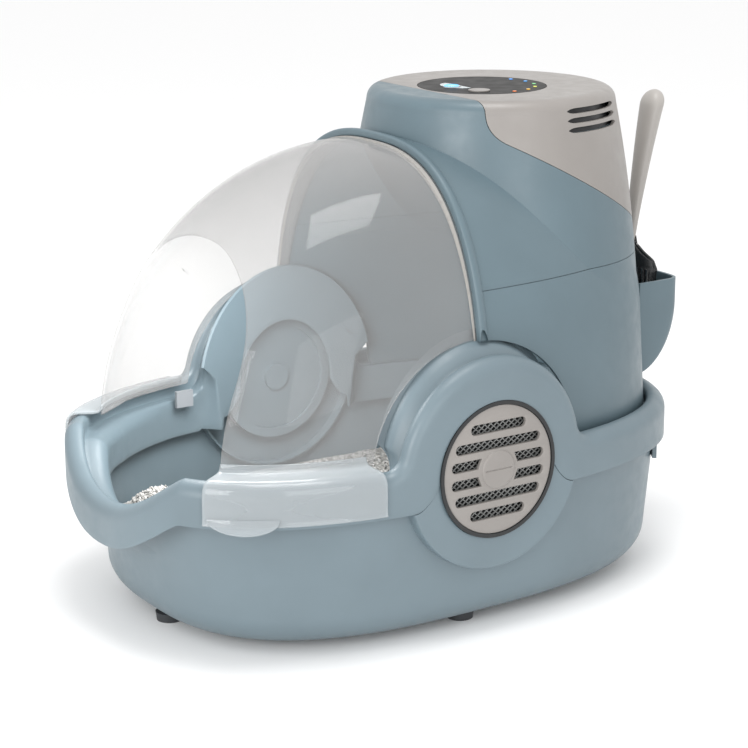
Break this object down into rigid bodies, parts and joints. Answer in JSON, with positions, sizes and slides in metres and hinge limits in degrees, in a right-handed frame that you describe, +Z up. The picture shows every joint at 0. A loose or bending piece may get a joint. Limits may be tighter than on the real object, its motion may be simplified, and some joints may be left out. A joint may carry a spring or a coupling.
{
  "type": "hooded cat litter box",
  "caption": "Hooded cat litter box: deep pan, rim frame with round side vents, clear swinging visor over the entry, fan tower with controls, scoop in a rear pocket.",
  "frame": {"origin": "centre of the bounding box at floor level, under the feet", "axes": "+Z up, +Y from the entry towards the scoop pocket, +X across through the side vents"},
  "size_m": [0.3974, 0.6248, 0.457],
  "materials": {
    "shell_plastic": "satin moulded blue-grey plastic",
    "trim_plastic": "satin moulded warm grey plastic",
    "visor_clear": "clear moulded plastic, lightly smoked",
    "foot_rubber": "matt rubber",
    "gasket_rubber": "matt rubber",
    "litter": "loose pale granules",
    "filter_foam": "carbon foam",
    "mesh_black": "black woven mesh",
    "fan_black": "black plastic",
    "steel": "bright screws",
    "panel_gloss": "gloss black window",
    "board_green": "circuit board",
    "light_blue": "lit indicator dots",
    "button_pale": "translucent button",
    "clip_plastic": "grey catch",
    "scoop_metal": "dark gloss"
  },
  "bodies": {
    "base": {"pan": "shell_plastic", "feet": "foot_rubber", "litter_bed": "litter"},
    "frame": {"rim_frame": "shell_plastic", "vent_housing_right": "shell_plastic", "vent_housing_left": "shell_plastic", "vent_inner_cover_right": "shell_plastic", "vent_inner_cover_left": "shell_plastic", "vent_filter_right": "filter_foam", "vent_filter_left": "filter_foam", "vent_mesh_right": "mesh_black", "vent_mesh_left": "mesh_black", "vent_gasket_right": "gasket_rubber", "vent_gasket_left": "gasket_rubber", "visor_clips": "clip_plastic"},
    "grille_right": {"vent_cover_right": "trim_plastic"},
    "grille_left": {"vent_cover_left": "trim_plastic"},
    "hood": {"hood_lower": "shell_plastic", "hood_upper": "shell_plastic", "hood_trim": "shell_plastic", "hood_screws": "steel", "fan_deck": "shell_plastic", "top_filter": "filter_foam", "filter_grille": "shell_plastic", "fan_frame": "fan_black", "fan_motor": "fan_black", "fan_screws": "steel", "scoop_holder": "shell_plastic", "holder_screws": "steel"},
    "visor": {"visor": "visor_clear"},
    "fan": {"fan_rotor": "fan_black"},
    "cap": {"top_cap": "trim_plastic", "cap_mesh": "mesh_black", "control_panel": "panel_gloss", "circuit_board": "board_green", "indicator_lights": "light_blue", "power_inlet": "fan_black"},
    "power_key": {"power_button": "button_pale"},
    "mode_key": {"mode_button": "trim_plastic"},
    "scoop": {"scoop_handle": "trim_plastic", "scoop_head": "scoop_metal"},
    "catch_right": {"latch_right": "shell_plastic"},
    "catch_left": {"latch_left": "shell_plastic"}
  },
  "joints": [
    {"name": "frame_lift", "type": "slide", "parent": "base", "child": "frame", "axis": [0, 0, 1], "range_m": [0, 0.08]},
    {"name": "hood_lift", "type": "slide", "parent": "frame", "child": "hood", "axis": [0, 0, 1], "range_m": [0, 0.12]},
    {"name": "visor_swing", "type": "hinge", "parent": "frame", "child": "visor", "pos_m": [0, -0.0244, 0.154], "axis": [-1, 0, 0], "range_deg": [0, 70]},
    {"name": "grille_right_twist", "type": "hinge", "parent": "frame", "child": "grille_right", "pos_m": [0.19, -0.0244, 0.154], "axis": [-1, 0, 0], "range_deg": [0, 25]},
    {"name": "grille_left_twist", "type": "hinge", "parent": "frame", "child": "grille_left", "pos_m": [-0.19, -0.0244, 0.154], "axis": [1, 0, 0], "range_deg": [0, 25]},
    {"name": "cap_lift", "type": "slide", "parent": "hood", "child": "cap", "axis": [0, 0, 1], "range_m": [0, 0.06]},
    {"name": "fan_spin", "type": "hinge", "parent": "hood", "child": "fan", "pos_m": [0, 0.1101, 0.43], "axis": [0, 0, 1], "continuous": true},
    {"name": "power_press", "type": "slide", "parent": "cap", "child": "power_key", "axis": [0, 0, -1], "range_m": [0, 0.0012], "stiffness_N_per_m": 400},
    {"name": "mode_press", "type": "slide", "parent": "cap", "child": "mode_key", "axis": [0, 0, -1], "range_m": [0, 0.0012], "stiffness_N_per_m": 400},
    {"name": "scoop_lift", "type": "slide", "parent": "hood", "child": "scoop", "axis": [0, 0, 1], "range_m": [0, 0.09]},
    {"name": "catch_right_swing", "type": "hinge", "parent": "frame", "child": "catch_right", "pos_m": [0.132, 0.2103, 0.129], "axis": [0.829, -0.5592, 0], "range_deg": [0, 25]},
    {"name": "catch_left_swing", "type": "hinge", "parent": "frame", "child": "catch_left", "pos_m": [-0.132, 0.2103, 0.129], "axis": [0.829, 0.5592, 0], "range_deg": [0, 25]}
  ]
}
